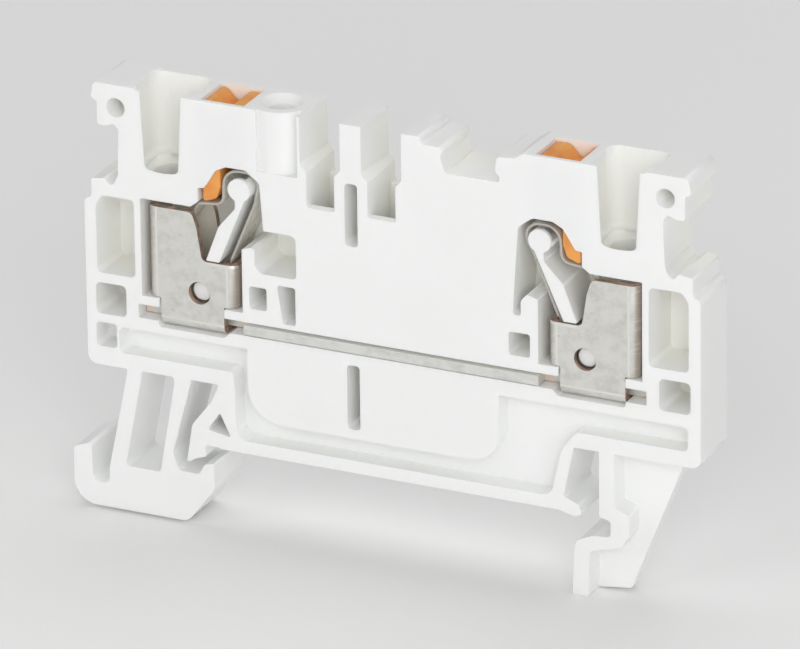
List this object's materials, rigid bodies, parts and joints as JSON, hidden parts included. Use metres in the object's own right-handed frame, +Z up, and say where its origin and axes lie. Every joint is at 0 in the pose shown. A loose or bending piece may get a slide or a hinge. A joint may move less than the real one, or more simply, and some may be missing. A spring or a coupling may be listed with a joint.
{
  "type": "terminal block",
  "caption": "Slim feed-through terminal block that snaps on a 35 mm rail, open on one side, with a push-in clamp and a release pusher at each end of its current bar.",
  "frame": {"origin": "centre of the bounding box in plan, at the height of the feet's underside", "axes": "+X along the block's length towards the fixed foot, +Y from the open side to the closed back, along the rail, +Z up from the rail to the wire entries"},
  "size_m": [0.0542, 0.0052, 0.0365],
  "materials": {
    "housing_plastic": "moulded pale grey polyamide, lightly satin",
    "plated_copper": "tin-plated copper strip with bare cut ends",
    "cage_sheet": "tin-plated copper sheet, folded, stained, bare cut edges",
    "spring_steel": "bright rolled spring steel",
    "pusher_plastic": "orange moulded plastic"
  },
  "bodies": {
    "block": {"housing": "housing_plastic", "current_bar": "plated_copper", "clamp_cage_left": "cage_sheet", "clamp_cage_right": "cage_sheet", "clamp_spring_left": "spring_steel", "clamp_spring_right": "spring_steel"},
    "pusher_left": {"release_pusher_left": "pusher_plastic"},
    "pusher_right": {"release_pusher_right": "pusher_plastic"}
  },
  "joints": [
    {"name": "pusher_left_press", "type": "slide", "parent": "block", "child": "pusher_left", "axis": [0, 0, -1], "range_m": [0, 0.0015], "stiffness_N_per_m": 400, "deforming": ["clamp_spring_left"]},
    {"name": "pusher_right_press", "type": "slide", "parent": "block", "child": "pusher_right", "axis": [0, 0, -1], "range_m": [0, 0.0015], "stiffness_N_per_m": 400, "deforming": ["clamp_spring_right"]}
  ]
}
